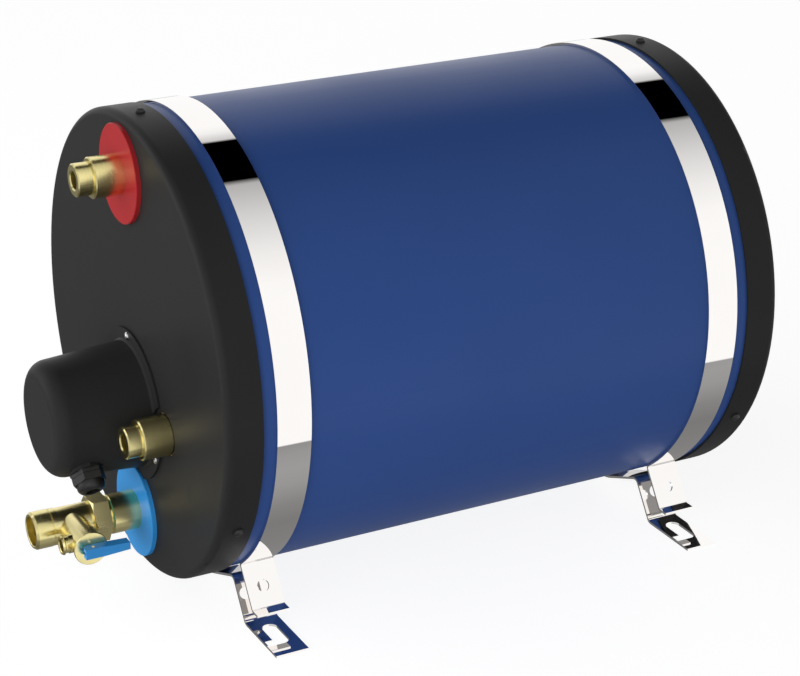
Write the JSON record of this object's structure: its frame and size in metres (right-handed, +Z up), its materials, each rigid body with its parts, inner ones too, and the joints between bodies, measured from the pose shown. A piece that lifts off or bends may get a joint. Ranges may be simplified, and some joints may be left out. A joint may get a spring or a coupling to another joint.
{
  "type": "water heater",
  "caption": "Horizontal insulated water heater for a caravan or boat: blue drum in steel straps with slotted feet, brass ports, domed heater cover and a safety valve with a lever.",
  "frame": {"origin": "on the floor plane under the feet, at the centre of the four foot slots", "axes": "+Z up, Y along the tank with the fittings at -Y, X across the tank"},
  "size_m": [0.3844, 0.589, 0.4015],
  "materials": {
    "casing_paint": "semi-gloss blue paint",
    "cap_black": "matte charcoal",
    "strap_steel": "polished stainless",
    "tank_steel": "drawn and welded stainless",
    "foam": "rigid foam",
    "brass": "turned brass",
    "disc_red": "glossy red",
    "disc_blue": "glossy blue",
    "cover_black": "matte charcoal",
    "gland_black": "matte black",
    "rubber": "moulded rubber",
    "rod_steel": "heat-tinted steel",
    "screw_steel": "bright zinc",
    "cream_plastic": "moulded cream",
    "copper_rod": "copper-coloured tube",
    "rivet_black": "black"
  },
  "bodies": {
    "heater": {"casing": "casing_paint", "insulation": "foam", "front_cap": "cap_black", "rear_cap": "cap_black", "front_cap_rivets": "rivet_black", "rear_cap_rivets": "rivet_black", "front_upper_strap": "strap_steel", "rear_upper_strap": "strap_steel", "front_lower_strap": "strap_steel", "rear_lower_strap": "strap_steel", "inner_tank": "tank_steel", "exchanger_tube": "tank_steel", "coolant_inlet": "brass", "coolant_outlet": "brass", "hot_fitting": "brass", "hot_disc": "disc_red", "cold_fitting": "brass", "cold_disc": "disc_blue", "plug_gasket": "rubber", "heater_plug": "brass", "heating_rods": "rod_steel", "thermostat_pocket": "tank_steel", "thermostat_housing": "cream_plastic", "thermostat_rod": "copper_rod", "terminal_block": "cream_plastic", "terminal_screws": "screw_steel", "cover_gasket": "rubber", "heater_cover": "cover_black", "cover_screws": "screw_steel", "gland_body": "gland_black", "gland_locknut": "gland_black", "gland_seal": "rubber", "gland_nut": "gland_black", "valve_washer": "rubber", "valve_body": "brass", "valve_inlet": "brass", "check_guide": "cream_plastic", "check_spring": "screw_steel", "drain_tail": "brass", "barrel_cap": "brass", "relief_spring": "screw_steel"},
    "spindle": {"relief_spindle": "brass", "lever_pin": "screw_steel"},
    "lever": {"relief_lever": "disc_blue"},
    "non_return_disc": {"check_disc": "rubber"},
    "dial": {"thermostat_dial": "gland_black"},
    "button": {"reset_button": "disc_red"}
  },
  "joints": [
    {"name": "relief_lift", "type": "slide", "parent": "heater", "child": "spindle", "axis": [1, 0, 0], "range_m": [0, 0.0036], "stiffness_N_per_m": 500, "deforming": ["relief_spring"]},
    {"name": "lever_turn", "type": "hinge", "parent": "spindle", "child": "lever", "pos_m": [0.0559, -0.3084, 0.061], "axis": [0, 0, -1], "range_deg": [0, 90]},
    {"name": "non_return", "type": "slide", "parent": "heater", "child": "non_return_disc", "axis": [0, 1, 0], "range_m": [0, 0.0035], "stiffness_N_per_m": 60, "deforming": ["check_spring"]},
    {"name": "dial_turn", "type": "hinge", "parent": "heater", "child": "dial", "pos_m": [-0.009, -0.284, 0.163], "axis": [0, -1, 0], "range_deg": [0, 240]},
    {"name": "reset_press", "type": "slide", "parent": "heater", "child": "button", "axis": [0, 1, 0], "range_m": [0, 0.002], "stiffness_N_per_m": 150}
  ],
  "couplings": [
    {"joint": "lever_turn", "follows": "relief_lift", "rad_per_m": 384.62}
  ]
}
